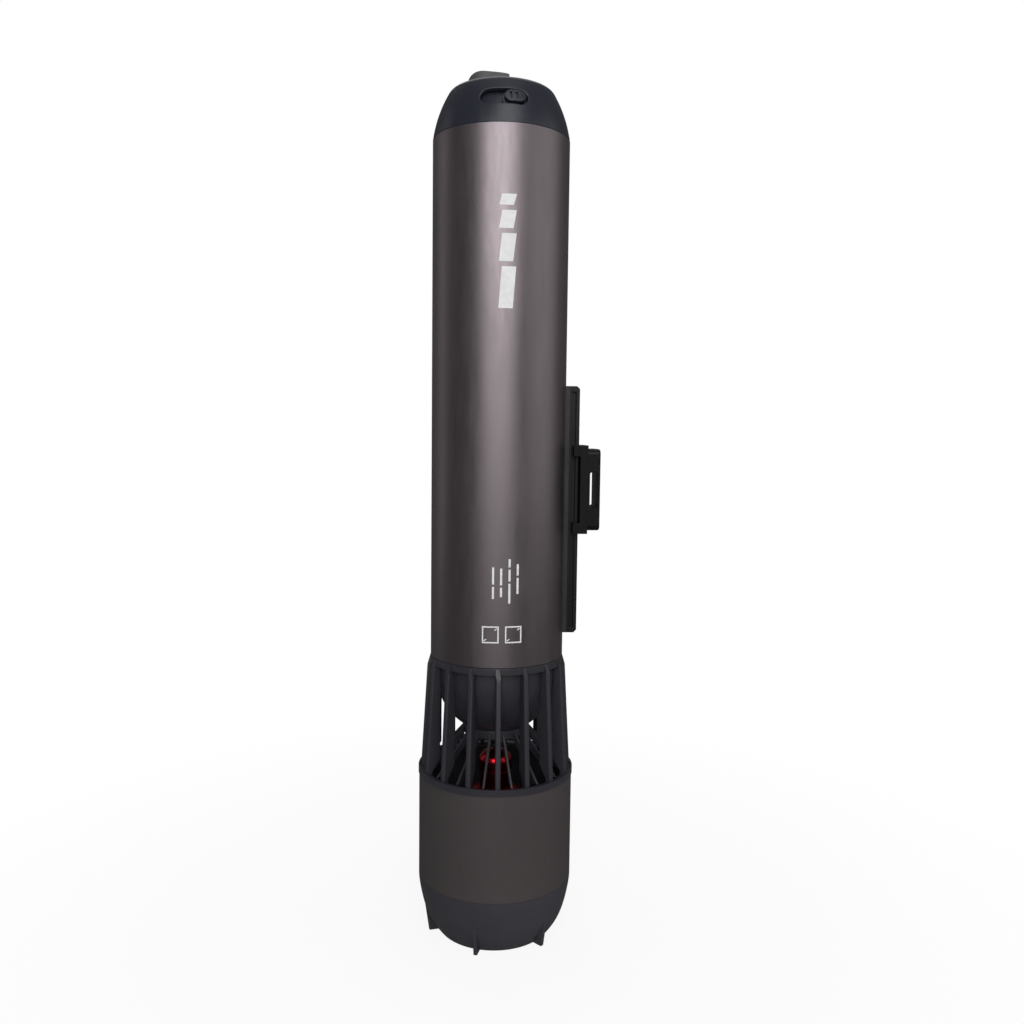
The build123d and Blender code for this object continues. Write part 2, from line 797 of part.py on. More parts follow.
with BuildPart() as nozzle:
    with BuildSketch(Plane.XZ):
        with BuildLine():
            Spline(
                (sleeve_r, nozzle_height),
                (sleeve_r - 0.9, nozzle_height * 0.75),
                (foot_top_r + 0.1, foot_top_z),
                (rim_r + 4.6, nozzle_height * 0.2),
                (rim_r, 0),
                tangents=[(0, -1), (-0.8, -1)],
            )
            Line((rim_r, 0), (rim_r - rim_wall, 0))
            ThreePointArc(
                (rim_r - rim_wall, 0),
                (rim_r + 2.6, nozzle_height * 0.31),
                (duct_r, vane_bottom_z - 1),
            )
            Polyline(
                (duct_r, vane_bottom_z - 1),
                (duct_r + liner_wall, vane_bottom_z - 1),
                (duct_r + liner_wall, nozzle_height + nozzle_spigot),
                (sleeve_bore_r, nozzle_height + nozzle_spigot),
                (sleeve_bore_r, nozzle_height),
                (sleeve_r, nozzle_height),
            )
        make_face()
    revolve(axis=Axis.Z)
    with PolarLocations(0, foot_count, start_angle=foot_turn - 90):
        add(foot.part)
    add(lead_hole, mode=Mode.SUBTRACT)
save(nozzle, "nozzle")

# ------------------------------------------------------------------ motor mount, vanes and stator
bell_r = stator_r + magnet_gap + magnet_depth + bell_wall
carrier_r = bearing_r + carrier_wall
mount_top_z = bell_bottom_z - mount_gap
mount_r = bell_r + hub_wall
stator_z = bell_bottom_z + 4.0
bell_top_z = stator_z + stator_height + 3.0
carrier_top_z = stator_z + stator_height + 1.0
with BuildPart() as motor_mount:
    with BuildSketch(Plane.XZ):
        with BuildLine():
            Polyline(
                (0, mount_top_z - mount_height),
                (mount_tip_r, mount_top_z - mount_height),
            )
            Spline(
                (mount_tip_r, mount_top_z - mount_height),
                (mount_r * 0.8, mount_top_z - mount_height * 0.55),
                (mount_r, mount_top_z - 6),
                tangents=[(0.5, 1), (0, 1)],
            )
            Polyline(
                (mount_r, mount_top_z - 6),
                (mount_r, mount_top_z),
                (carrier_r, mount_top_z),
                (carrier_r, carrier_top_z),
                (bearing_r, carrier_top_z),
                (bearing_r, mount_top_z - 2),
                (shaft_r + 1.5, mount_top_z - 2),
                (shaft_r + 1.5, mount_top_z - 18),
                (0, mount_top_z - 18),
                (0, mount_top_z - mount_height),
            )
        make_face()
    revolve(axis=Axis.Z)

with BuildPart() as vane:
    with BuildSketch(Plane.XY.offset(vane_bottom_z)):
        with Locations((0, (mount_tip_r + duct_r) / 2)):
            Rectangle(vane_thick, duct_r - mount_tip_r + 2)
    extrude(amount=vane_height)
    fillet(vane.edges().filter_by(Axis.Y), vane_thick * 0.4)
    revolve(box_ring(duct_r, duct_r + 10, 0, 90), axis=Axis.Z, mode=Mode.SUBTRACT)
    add(motor_mount.part, mode=Mode.SUBTRACT)
    revolve(box_ring(0, shaft_r + 2, 0, 90), axis=Axis.Z, mode=Mode.SUBTRACT)
with BuildPart() as drilled_mount:
    add(motor_mount.part)
    add(lead_hole, mode=Mode.SUBTRACT)
save(drilled_mount, "motor_mount")
with BuildPart() as stator_vanes:
    with PolarLocations(0, vane_count):
        add(vane.part)
    add(nozzle.part, mode=Mode.SUBTRACT)
    add(lead_hole, mode=Mode.SUBTRACT)
save(stator_vanes, "stator_vanes")

tooth_pitch = 360 / stator_teeth
with BuildPart() as stator_core:
    with BuildSketch(Plane.XY.offset(stator_z)):
        Circle(carrier_r + 2.0)
        with PolarLocations(0, stator_teeth):
            with Locations((stator_r / 2 + 1, 0)):
                Rectangle(stator_r - 2.6, stator_tooth)
        with BuildSketch(Plane.XY.offset(stator_z), mode=Mode.PRIVATE) as shoes:
            Circle(stator_r)
            Circle(stator_r - 1.0, mode=Mode.SUBTRACT)
            with PolarLocations((stator_r + carrier_r) / 2 + 2, stator_teeth, start_angle=tooth_pitch / 2):
                Rectangle(8, 1.2, mode=Mode.SUBTRACT)
        add(shoes.sketch)
        Circle(carrier_r, mode=Mode.SUBTRACT)
    extrude(amount=stator_height)
save(stator_core, "stator_core")

with BuildPart() as stator_windings:
    coil_in = carrier_r + 2.1
    coil_out = stator_r - 1.3
    with BuildSketch(Plane.XY.offset(stator_z - 1.5)):
        with PolarLocations(0, stator_teeth):
            with Locations(((coil_in + coil_out) / 2, 0)):
                Rectangle(coil_out - coil_in, stator_tooth + 1.2)
    extrude(amount=stator_height + 3.0)
    with BuildSketch(Plane.XY.offset(stator_z)):
        with PolarLocations(0, stator_teeth):
            with Locations(((coil_in + coil_out) / 2, 0)):
                Rectangle(coil_out - coil_in + 1, stator_tooth)
    extrude(amount=stator_height, mode=Mode.SUBTRACT)
save(stator_windings, "stator_windings")

bearing_heights = (mount_top_z - 2, carrier_top_z - bearing_height)
with BuildPart() as motor_bearings:
    for low in bearing_heights:
        revolve(box_ring(shaft_r + running_gap, bearing_r, low, low + bearing_height), axis=Axis.Z)
save(motor_bearings, "motor_bearings")

# ------------------------------------------------------------------ rotor
with BuildPart() as motor_shaft:
    shaft_low = mount_top_z - 12
    with BuildSketch(Plane.XY.offset(shaft_low)):
        Circle(shaft_r)
    extrude(amount=spinner_top_z - 6 - shaft_low)
save(motor_shaft, "motor_shaft")

bell_bore_r = bell_r - bell_wall
end_plate_z = bell_top_z + bell_wall
neck_r = spinner_r - spinner_step
cap_z = spinner_top_z - spinner_cap_height
dome_z = spinner_top_z - 6.5
with BuildPart() as rotor_bell:
    with BuildSketch(Plane.XZ):
        with BuildLine():
            Polyline(
                (0, bell_top_z),
                (bell_bore_r, bell_top_z),
                (bell_bore_r, bell_bottom_z),
                (bell_r, bell_bottom_z),
                (bell_r, end_plate_z - 1),
                (bell_r - 1, end_plate_z),
                (neck_r + 1, end_plate_z),
                (neck_r, end_plate_z + 1),
                (neck_r, cap_z),
                (spinner_r, cap_z + spinner_step),
                (spinner_r, dome_z),
            )
            Spline(
                (spinner_r, dome_z),
                (spinner_r * 0.72, spinner_top_z - 1.9),
                (0, spinner_top_z),
                tangents=[(0, 1), (-1, 0)],
            )
            Line((0, spinner_top_z), (0, bell_top_z))
        make_face()
    revolve(axis=Axis.Z)
    add(motor_shaft.part, mode=Mode.SUBTRACT)
save(rotor_bell, "rotor_bell")

with BuildPart() as rotor_magnets:
    with BuildSketch(Plane.XY.offset(stator_z)):
        Circle(bell_bore_r)
        Circle(bell_bore_r - magnet_depth, mode=Mode.SUBTRACT)
        with PolarLocations(bell_bore_r, magnet_count, start_angle=180 / magnet_count):
            Rectangle(6, 0.5, mode=Mode.SUBTRACT)
    extrude(amount=stator_height)
save(rotor_magnets, "rotor_magnets")

blade_r = duct_r - blade_tip_gap
hub_r = bell_r + hub_wall
hub_z = bell_bottom_z + 1.0
blade_z = hub_z + hub_height / 2
with BuildPart() as blade:
    sections = ((hub_r - 2.0, 16.0, 42.0), ((hub_r + blade_r) / 2, 19.0, 30.0), (blade_r + 3.0, 21.0, 22.0))
    for radius, chord, pitch in sections:
        with BuildSketch(Plane(origin=(radius, 0, blade_z), x_dir=(0, 1, 0), z_dir=(1, 0, 0))):
            SlotOverall(chord, blade_thick, rotation=pitch)
    loft(ruled=True)
    revolve(box_ring(blade_r, blade_r + 20, 0, 120), axis=Axis.Z, mode=Mode.SUBTRACT)
    revolve(box_ring(0, bell_r, 0, 120), axis=Axis.Z, mode=Mode.SUBTRACT)
with BuildPart() as propeller:
    revolve(box_ring(bell_r, hub_r, hub_z, hub_z + hub_height), axis=Axis.Z)
    with PolarLocations(0, blade_count):
        add(blade.part)
save(propeller, "propeller")

# ------------------------------------------------------------------ motor lead and its gland
with BuildPart() as lead_gland:
    with BuildSketch(Plane(origin=(0, inner_r, lead_exit_z), x_dir=(1, 0, 0), z_dir=(0, -1, 0))):
        Circle(lead_r + gland_wall)
    extrude(amount=gland_length)
    with BuildSketch(Plane(origin=(0, bowl_r, lead_exit_z), x_dir=(1, 0, 0), z_dir=(0, -1, 0))):
        Circle(lead_r)
    extrude(amount=3 * gland_length, mode=Mode.SUBTRACT)
    add(tail_bulkhead.part, mode=Mode.SUBTRACT)
save(lead_gland, "lead_gland")

with BuildPart() as motor_lead:
    add(lead_tube(lead_r, 1.0, lead_inner_y))
save(motor_lead, "motor_lead")

# ------------------------------------------------------------------ rail on the hull's side
rail_head_z = rail_top_x - rail_screw_head_depth
rail_shank = pin_row(rail_screw_tip_x, rail_head_z - rail_screw_tip_x, rail_screw_r, *rail_screw_row)
with BuildPart() as rail_pad:
    with BuildSketch(Plane.XY.offset(rail_bottom_z)):
        with Locations(((bore_r + rail_pad_x) / 2, 0)):
            Rectangle(rail_pad_x - bore_r, 2 * rail_head_half)
        Circle(tube_r, mode=Mode.SUBTRACT)
    extrude(amount=rail_length)
    add(rail_shank, mode=Mode.SUBTRACT)
save(rail_pad, "rail_pad")

with BuildPart() as mount_rail:
    with BuildSketch(Plane.XY.offset(rail_bottom_z)):
        with Locations(((rail_pad_x + rail_top_x) / 2, 0)):
            Rectangle(rail_top_x - rail_pad_x, 2 * rail_head_half)
    extrude(amount=rail_length)
    chamfer(mount_rail.edges().filter_by(Axis.Y).group_by(Axis.X)[-1], rail_end_chamfer)
    chamfer(mount_rail.edges().filter_by(Axis.Z).group_by(Axis.X)[-1], rail_side_chamfer)
    groove_depth = rail_head_half - rail_neck_half
    groove_mid_x = (rail_pad_x + rail_foot_thick + rail_head_x) / 2
    with BuildSketch(Plane.XY.offset(rail_bottom_z + rail_end_wall)):
        for side in (-1, 1):
            with Locations((groove_mid_x, side * (rail_neck_half + groove_depth))):
                Rectangle(rail_head_x - rail_pad_x - rail_foot_thick, 2 * groove_depth)
    extrude(amount=rail_length - 2 * rail_end_wall, mode=Mode.SUBTRACT)
    add(rail_shank, mode=Mode.SUBTRACT)
    add(pin_row(rail_head_z, rail_head_depth + play, rail_screw_head_r, *rail_screw_row), mode=Mode.SUBTRACT)
save(mount_rail, "mount_rail")

with BuildPart() as rail_screws:
    add(rail_shank)
    add(pin_row(rail_head_z, rail_screw_head_tall, rail_screw_head_r, *rail_screw_row))
    hex_floor_x = rail_head_z + rail_screw_head_tall - hex_depth
    add(pin_row(hex_floor_x, 2 * hex_depth, rail_hex_r, *rail_screw_row, 6), mode=Mode.SUBTRACT)
save(rail_screws, "rail_screws")

# ------------------------------------------------------------------ shoe and strap block
shoe_mid_z = shoe_bottom_z + shoe_length / 2
claw_top_x = rail_head_x - play
claw_inner_y = rail_neck_half + 2 * play
shoe_low_x = rail_top_x + play
shoe_head_x = block_top_x - shoe_screw_head_depth
shoe_screw_row = (shoe_mid_z, block_length - 10, 2)
shoe_shank = pin_row(shoe_low_x, shoe_head_x - shoe_low_x, shoe_screw_r, *shoe_screw_row)
with BuildPart() as shoe_base:
    with BuildSketch(Plane.XY.offset(shoe_bottom_z)):
        with Locations(((shoe_low_x + shoe_top_x) / 2, 0)):
            Rectangle(shoe_top_x - shoe_low_x, 2 * shoe_half)
    extrude(amount=shoe_length)
    for low in (shoe_bottom_z, shoe_bottom_z + shoe_length - claw_height):
        for side in (-1, 1):
            with BuildSketch(Plane.XY.offset(low)):
                with BuildLine():
                    Polyline(
                        (shoe_top_x - 1, side * shoe_half),
                        (claw_top_x - claw_lip, side * shoe_half),
                        (claw_top_x - claw_lip, side * claw_inner_y),
                        (claw_top_x, side * claw_inner_y),
                        (claw_top_x, side * (rail_head_half + play)),
                        (shoe_top_x - 1, side * (rail_head_half + play)),
                        close=True,
                    )
                make_face()
            extrude(amount=claw_height)
    add(shoe_shank, mode=Mode.SUBTRACT)
save(shoe_base, "shoe_base")

with BuildPart() as strap_block:
    block_mid_z = block_bottom_z + block_length / 2
    strap_mid_z = strap_bottom_z + strap_length / 2
    with BuildSketch(Plane.YZ.offset(shoe_top_x)):
        with Locations((0, block_mid_z)):
            RectangleRounded(2 * shoe_half, block_length, block_corner_r)
    extrude(amount=block_top_x - shoe_top_x)
    fillet(strap_block.faces().sort_by(Axis.X)[-1].edges(), block_edge_r)
    with BuildSketch(Plane.XZ):
        with Locations((strap_low_x + strap_thick / 2, strap_mid_z)):
            RectangleRounded(strap_thick, strap_length, strap_corner_r)
    extrude(amount=shoe_half + 1, both=True, mode=Mode.SUBTRACT)
    add(shoe_shank, mode=Mode.SUBTRACT)
    add(pin_row(shoe_head_x, shoe_screw_head_depth, shoe_screw_head_r, *shoe_screw_row), mode=Mode.SUBTRACT)
save(strap_block, "strap_block")

with BuildPart() as shoe_screws:
    add(shoe_shank)
    add(pin_row(shoe_head_x, shoe_screw_head_depth - play, shoe_screw_head_r, *shoe_screw_row))
    add(pin_row(block_top_x - hex_depth - play, hex_depth, shoe_hex_r, *shoe_screw_row, 6), mode=Mode.SUBTRACT)
save(shoe_screws, "shoe_screws")

# ------------------------------------------------------------------ battery pack
layer_bottoms = (pack_bottom_z, pack_bottom_z + cell_length + holder_mid_height - 2 * cell_seat)
pack_top_z = layer_bottoms[1] + cell_length
holder_r = bore_r - holder_gap
with BuildPart() as battery_cells:
    for low in layer_bottoms:
        with BuildSketch(Plane.XY.offset(low)):
            with PolarLocations(cell_pitch_r, cells_per_layer, start_angle=180):
                Circle(cell_r)
        extrude(amount=cell_length)
save(battery_cells, "battery_cells")


def holder(low, height):
    """A disc that takes the cells' ends, with a notch for the tube's screw boss."""
    with BuildPart() as disc:
        with BuildSketch(Plane.XY.offset(low)):
            Circle(holder_r)
            with Locations((bore_r - boss_depth / 2, 0)):
                Rectangle(boss_depth + 1.0, 2 * boss_half + 1.0, mode=Mode.SUBTRACT)
            with PolarLocations(rod_ring_r, cells_per_layer, start_angle=120):
                Circle(rod_r, mode=Mode.SUBTRACT)
        extrude(amount=height)
        add(battery_cells.part, mode=Mode.SUBTRACT)
        with BuildSketch(Plane.XY.offset(low)):
            Circle(3.0)
        extrude(amount=height, mode=Mode.SUBTRACT)
    return disc.part


holder_places = {
    "cell_holder_rear": (pack_bottom_z - holder_height + cell_seat, holder_height),
    "cell_holder_mid": (pack_bottom_z + cell_length - cell_seat, holder_mid_height),
    "cell_holder_front": (pack_top_z - cell_seat, holder_height),
}
for label, (low, height) in holder_places.items():
    with BuildPart() as cell_holder:
        add(holder(low, height))
    save(cell_holder, label)

with BuildPart() as tie_rods:
    rod_low = pack_bottom_z - holder_height + cell_seat - rod_end
    with BuildSketch(Plane.XY.offset(rod_low)):
        with PolarLocations(rod_ring_r, cells_per_layer, start_angle=120):
            Circle(rod_r)
    extrude(amount=pack_top_z + 10 - rod_low)
    for low in (rod_low + rod_end - rod_nut_tall, pack_top_z - cell_seat + holder_height):
        with BuildSketch(Plane.XY.offset(low)):
            with PolarLocations(rod_ring_r, cells_per_layer, start_angle=120):
                RegularPolygon(rod_nut_r, 6)
        extrude(amount=rod_nut_tall)
save(tie_rods, "tie_rods")

# ------------------------------------------------------------------ electronics
board_z = pack_top_z - cell_seat + holder_height + board_gap
radio_z = seam_z + radio_rise
speed_z = bowl_z + speed_rise
with BuildPart() as bms_board:
    with BuildSketch(Plane.XY.offset(board_z)):
        Circle(board_half)
    extrude(amount=board_thick)
    with BuildSketch(Plane.XY.offset(board_z + board_thick)):
        with GridLocations(12, 11, 3, 2):
            Rectangle(7, 6)
    extrude(amount=chip_tall)
save(bms_board, "bms_board")

with BuildPart() as radio_board:
    with BuildSketch(Plane.XY.offset(radio_z)):
        Circle(radio_board_r)
    extrude(amount=board_thick)
    with BuildSketch(Plane.XY.offset(radio_z + board_thick)):
        with Locations((10, 8)):
            Rectangle(14, 10)
        with Locations((-12, -6)):
            Rectangle(8, 8)
    extrude(amount=chip_tall)
save(radio_board, "radio_board")

with BuildPart() as speed_controller:
    with BuildSketch(Plane.XY.offset(speed_z)):
        with Locations(speed_mid):
            Circle(speed_board_r)
    extrude(amount=board_thick)
    with BuildSketch(Plane.XY.offset(speed_z + board_thick)):
        with Locations(speed_mid):
            with GridLocations(8, 9, 3, 2):
                Rectangle(5.5, 6)
    extrude(amount=chip_tall)
save(speed_controller, "speed_controller")

with BuildPart() as supply_capacitors:
    capacitor_z = speed_z + board_thick + chip_tall + play
    add(disc_row(capacitor_z, capacitor_height, capacitor_r, capacitor_pitch, 2, speed_mid))
save(supply_capacitors, "supply_capacitors")
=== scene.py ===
import json
from math import cos, pi, radians, sin

import bmesh
import bpy
from mathutils import Matrix, Vector


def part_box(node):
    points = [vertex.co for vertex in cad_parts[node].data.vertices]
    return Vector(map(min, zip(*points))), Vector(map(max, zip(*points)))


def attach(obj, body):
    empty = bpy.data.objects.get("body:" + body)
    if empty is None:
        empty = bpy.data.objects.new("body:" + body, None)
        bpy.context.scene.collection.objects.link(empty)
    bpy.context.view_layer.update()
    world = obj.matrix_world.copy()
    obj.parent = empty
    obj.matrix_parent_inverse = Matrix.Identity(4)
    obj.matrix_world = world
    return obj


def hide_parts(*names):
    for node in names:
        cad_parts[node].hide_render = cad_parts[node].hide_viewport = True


# Looks of an underwater scooter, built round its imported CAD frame. Metres, in the frame of the
# CAD: the hull axis is Z with the nose up, the rail is on +X and the power switch faces -Y.
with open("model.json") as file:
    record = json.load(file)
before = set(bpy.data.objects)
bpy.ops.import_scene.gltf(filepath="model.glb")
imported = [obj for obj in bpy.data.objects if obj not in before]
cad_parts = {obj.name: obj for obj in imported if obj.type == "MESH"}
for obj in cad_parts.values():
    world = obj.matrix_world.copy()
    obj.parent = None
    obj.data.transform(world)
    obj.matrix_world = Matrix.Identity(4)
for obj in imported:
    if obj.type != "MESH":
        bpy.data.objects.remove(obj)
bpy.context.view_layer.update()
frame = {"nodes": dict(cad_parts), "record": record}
nodes = frame["nodes"]

MM = 0.001
SEAM_TOLERANCE = 0.002 * MM
FLAT_ANGLE = radians(0.4)
CREASE = radians(35.0)
EDGE_ANGLE = 30.0
GRAIN_STRENGTH = 0.6
GRAIN_SHARE = 0.1
SCUFF_SHARE = 0.125
STREAK_SCALE = (1.0, 1.0, 0.18)
STREAK_CELLS = 240.0


def low(node):
    """Lowest corner of a CAD node."""
    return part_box(node)[0]


def high(node):
    """Highest corner of a CAD node."""
    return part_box(node)[1]


# ------------------------------------------------------------------ finishes
def node_of(tree, kind, **inputs):
    """A shader node with its sockets set, or linked where the value is a socket."""
    made = tree.nodes.new(kind)
    for name, value in inputs.items():
        socket = made.inputs[name.replace("_", " ")]
        if isinstance(value, bpy.types.NodeSocket):
            tree.links.new(value, socket)
        else:
            socket.default_value = value
    return made


def blank_finish(name):
    """A new material, its node tree and its shader."""
    made = bpy.data.materials.new(name)
    made.use_nodes = True
    tree = made.node_tree
    shader = next(n for n in tree.nodes if n.type == "BSDF_PRINCIPLED")
    return made, tree, shader


def noise(tree, coords, scale, detail=3.0, rough=0.55):
    """Noise of so many cells to the metre."""
    return node_of(tree, "ShaderNodeTexNoise", Vector=coords, Scale=scale, Detail=detail, Roughness=rough)


def spread(tree, value, low_out, high_out, low_in=0.3, high_in=0.7):
    """A value's range stretched to another range."""
    made = node_of(tree, "ShaderNodeMapRange", Value=value)
    ends = {"From Min": low_in, "From Max": high_in, "To Min": low_out, "To Max": high_out}
    for name, number in ends.items():
        made.inputs[name].default_value = number
    return made.outputs["Result"]


def two_tone(tree, factor, dark, light):
    """A colour between two, by a factor."""
    made = tree.nodes.new("ShaderNodeMix")
    made.data_type = "RGBA"
    tree.links.new(factor, made.inputs["Factor"])
    made.inputs["A"].default_value = (*dark, 1)
    made.inputs["B"].default_value = (*light, 1)
    return made.outputs["Result"]


def output_of(tree, kind):
    """The surface socket of a tree's output node."""
    return next(n for n in tree.nodes if n.type == kind).inputs["Surface"]


def surface(name, dark, light, rough, metal, cloud, grain, grain_depth, **sockets):
    """A finish with cloudy tone, fine grain, and faint scuffs that change its gloss.

    Cloud and grain are cells to the metre, and the grain's depth is in millimetres.
    """
    made, tree, shader = blank_finish(name)
    coords = tree.nodes.new("ShaderNodeTexCoord").outputs["Object"]
    clouds = noise(tree, coords, cloud, 4.0).outputs["Fac"]
    fine = noise(tree, coords, grain, 2.0, 0.6).outputs["Fac"]
    streaks = node_of(tree, "ShaderNodeMapping", Vector=coords, Scale=STREAK_SCALE).outputs["Vector"]
    rubbed = noise(tree, streaks, STREAK_CELLS, 6.0, 0.7).outputs["Fac"]
    tree.links.new(two_tone(tree, spread(tree, clouds, 0.0, 1.0), dark, light), shader.inputs["Base Color"])
    gloss = node_of(tree, "ShaderNodeMath")
    gloss.operation = "ADD"
    scuffs = spread(tree, rubbed, -rough * SCUFF_SHARE, rough * SCUFF_SHARE)
    grains = spread(tree, fine, rough * (1 - GRAIN_SHARE), rough * (1 + GRAIN_SHARE))
    tree.links.new(scuffs, gloss.inputs[0])
    tree.links.new(grains, gloss.inputs[1])
    tree.links.new(gloss.outputs[0], shader.inputs["Roughness"])
    bump = node_of(tree, "ShaderNodeBump", Strength=GRAIN_STRENGTH, Distance=grain_depth * MM, Height=fine)
    tree.links.new(bump.outputs["Normal"], shader.inputs["Normal"])
    shader.inputs["Metallic"].default_value = metal
    for socket, value in sockets.items():
        shader.inputs[socket.replace("_", " ")].default_value = value
    return made


hull_anodised = surface(
    "hull_anodised", (0.240, 0.208, 0.220), (0.272, 0.237, 0.252),
    rough=0.42, metal=1.0, cloud=9.0, grain=3400.0, grain_depth=0.012,
)
sleeve_anodised = surface(
    "sleeve_anodised", (0.078, 0.067, 0.069), (0.092, 0.080, 0.081),
    rough=0.55, metal=0.35, cloud=12.0, grain=3000.0, grain_depth=0.016,
)
nose_plastic = surface(
    "nose_plastic", (0.017, 0.019, 0.030), (0.022, 0.024, 0.037),
    rough=0.36, metal=0.0, cloud=18.0, grain=2300.0, grain_depth=0.016,
)
cage_plastic = surface(
    "cage_plastic", (0.026, 0.025, 0.033), (0.034, 0.033, 0.042),
    rough=0.40, metal=0.0, cloud=20.0, grain=2300.0, grain_depth=0.016,
)
nozzle_plastic = surface(
    "nozzle_plastic", (0.040, 0.039, 0.048), (0.052, 0.050, 0.061),
    rough=0.42, metal=0.0, cloud=20.0, grain=2300.0, grain_depth=0.016,
)
rail_anodised = surface(
    "rail_anodised", (0.012, 0.011, 0.012), (0.018, 0.017, 0.018),
    rough=0.30, metal=0.1, cloud=24.0, grain=3000.0, grain_depth=0.010, Specular_IOR_Level=0.22,
)
shoe_plastic = surface(
    "shoe_plastic", (0.005, 0.005, 0.005), (0.008, 0.008, 0.008),
    rough=0.34, metal=0.0, cloud=24.0, grain=2200.0, grain_depth=0.020, Specular_IOR_Level=0.15,
)
flap_rubber = surface(
    "flap_rubber", (0.085, 0.085, 0.088), (0.120, 0.120, 0.123),
    rough=0.62, metal=0.0, cloud=90.0, grain=1500.0, grain_depth=0.040,
)
seal_rubber = surface(
    "seal_rubber", (0.014, 0.014, 0.014), (0.022, 0.022, 0.022),
    rough=0.55, metal=0.0, cloud=40.0, grain=1800.0, grain_depth=0.020,
)
screw_steel = surface(
    "screw_steel", (0.10, 0.10, 0.105), (0.15, 0.15, 0.155),
    rough=0.30, metal=1.0, cloud=90.0, grain=3600.0, grain_depth=0.006,
)
core_steel = surface(
    "core_steel", (0.28, 0.28, 0.29), (0.38, 0.38, 0.39),
    rough=0.32, metal=1.0, cloud=60.0, grain=3600.0, grain_depth=0.006,
)
coil_copper = surface(
    "coil_copper", (0.50, 0.20, 0.08), (0.68, 0.30, 0.12),
    rough=0.34, metal=1.0, cloud=90.0, grain=3000.0, grain_depth=0.010,
)
cell_wrap = surface(
    "cell_wrap", (0.03, 0.12, 0.10), (0.04, 0.16, 0.13),
    rough=0.30, metal=0.0, cloud=40.0, grain=1500.0, grain_depth=0.010,
)
holder_plastic = surface(
    "holder_plastic", (0.020, 0.020, 0.021), (0.030, 0.030, 0.031),
    rough=0.45, metal=0.0, cloud=40.0, grain=2000.0, grain_depth=0.020,
)
board_green = surface(
    "board_green", (0.010, 0.070, 0.030), (0.014, 0.095, 0.040),
    rough=0.28, metal=0.0, cloud=60.0, grain=1500.0, grain_depth=0.010,
)
spinner_red = surface(
    "spinner_red", (0.55, 0.016, 0.024), (0.70, 0.026, 0.036),
    rough=0.22, metal=1.0, cloud=40.0, grain=3000.0, grain_depth=0.005,
)
print_white = surface(
    "print_white", (0.78, 0.78, 0.79), (0.90, 0.90, 0.91),
    rough=0.50, metal=0.0, cloud=300.0, grain=2600.0, grain_depth=0.012,
)

finish_of_slot = {
    "hull_metal": hull_anodised,
    "sleeve_metal": sleeve_anodised,
    "nose_plastic": nose_plastic,
    "cage_plastic": cage_plastic,
    "rail_metal": rail_anodised,
    "shoe_plastic": shoe_plastic,
    "flap_rubber": flap_rubber,
    "seal_rubber": seal_rubber,
    "screw_steel": screw_steel,
    "core_steel": core_steel,
    "copper": coil_copper,
    "cell_wrap": cell_wrap,
    "holder_plastic": holder_plastic,
    "board": board_green,
    "red_metal": spinner_red,
}
own_finish_of_node = {"nozzle": nozzle_plastic}
slot_of_node = {part["node"]: part["material_slot"] for part in frame["record"]["subparts"]}
bodies = frame["record"]["behaviour"]["bodies"]
body_of_node = {node: body for body, members in bodies.items() for node in members}
for name, cad_object in nodes.items():
    cad_object.data.materials.clear()
    cad_object.data.materials.append(finish_of_slot[slot_of_node[name]])


# ------------------------------------------------------------------ piece making
def piece(name, bm, body, finish, replaced=()):
    """Ends a piece: its mesh, its finish, its body and the CAD nodes it stands for."""
    mesh = bpy.data.meshes.new(name)
    bm.to_mesh(mesh)
    bm.free()
    mesh.materials.append(finish)
    mesh.shade_smooth()
    mesh.set_sharp_from_angle(angle=CREASE)
    made = bpy.data.objects.new(name, mesh)
    bpy.context.scene.collection.objects.link(made)
    flats = made.modifiers.new("flats", "WEIGHTED_NORMAL")
    flats.keep_sharp = True
    flats.weight = 80
    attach(made, body)
    if replaced:
        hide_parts(*replaced)


def merged(node):
    """A merged copy of a CAD node's mesh."""
    bm = bmesh.new()
    bm.from_mesh(nodes[node].data)
    bmesh.ops.remove_doubles(bm, verts=bm.verts, dist=SEAM_TOLERANCE)
    bmesh.ops.dissolve_degenerate(bm, edges=bm.edges, dist=SEAM_TOLERANCE)
    bmesh.ops.dissolve_limit(bm, angle_limit=FLAT_ANGLE, verts=bm.verts, edges=bm.edges)
    return bm


def sharp_edges(bm, angle=EDGE_ANGLE):
    """The edges whose faces turn by more than so many degrees."""
    return [e for e in bm.edges if e.is_manifold and e.calc_face_angle() > radians(angle)]


def round_edges(bm, edges, width, segments=2):
    """Rounds the given edges."""
    bmesh.ops.bevel(
        bm, geom=edges, offset=width, offset_type="OFFSET", affect="EDGES", segments=segments,
        profile=0.5, material=-1, clamp_overlap=True,
    )


def eased(name, node, width):
    """A CAD node's shape with its edges eased, standing for the node."""
    bm = merged(node)
    round_edges(bm, sharp_edges(bm), width)
    slot = slot_of_node[node]
    finish = own_finish_of_node.get(node, finish_of_slot[slot])
    piece(name, bm, body_of_node[node], finish, [node])


def turned(points, steps):
    """A closed outline of (radius, height) points turned round the hull axis."""
    bm = bmesh.new()
    corners = [bm.verts.new((r, 0, z)) for r, z in points]
    sides = [bm.edges.new((a, b)) for a, b in zip(corners, corners[1:] + corners[:1])]
    bmesh.ops.spin(
        bm, geom=corners + sides, cent=(0, 0, 0), axis=(0, 0, 1), angle=2 * pi, steps=steps,
        use_merge=True, use_duplicate=False,
    )
    bmesh.ops.remove_doubles(bm, verts=bm.verts, dist=SEAM_TOLERANCE)
    bmesh.ops.recalc_face_normals(bm, faces=bm.faces)
    return bm


# ------------------------------------------------------------------ hull
TUBE_WALL = 2.0 * MM
TUBE_STEPS = 160
TUBE_EDGE_R = 0.45 * MM

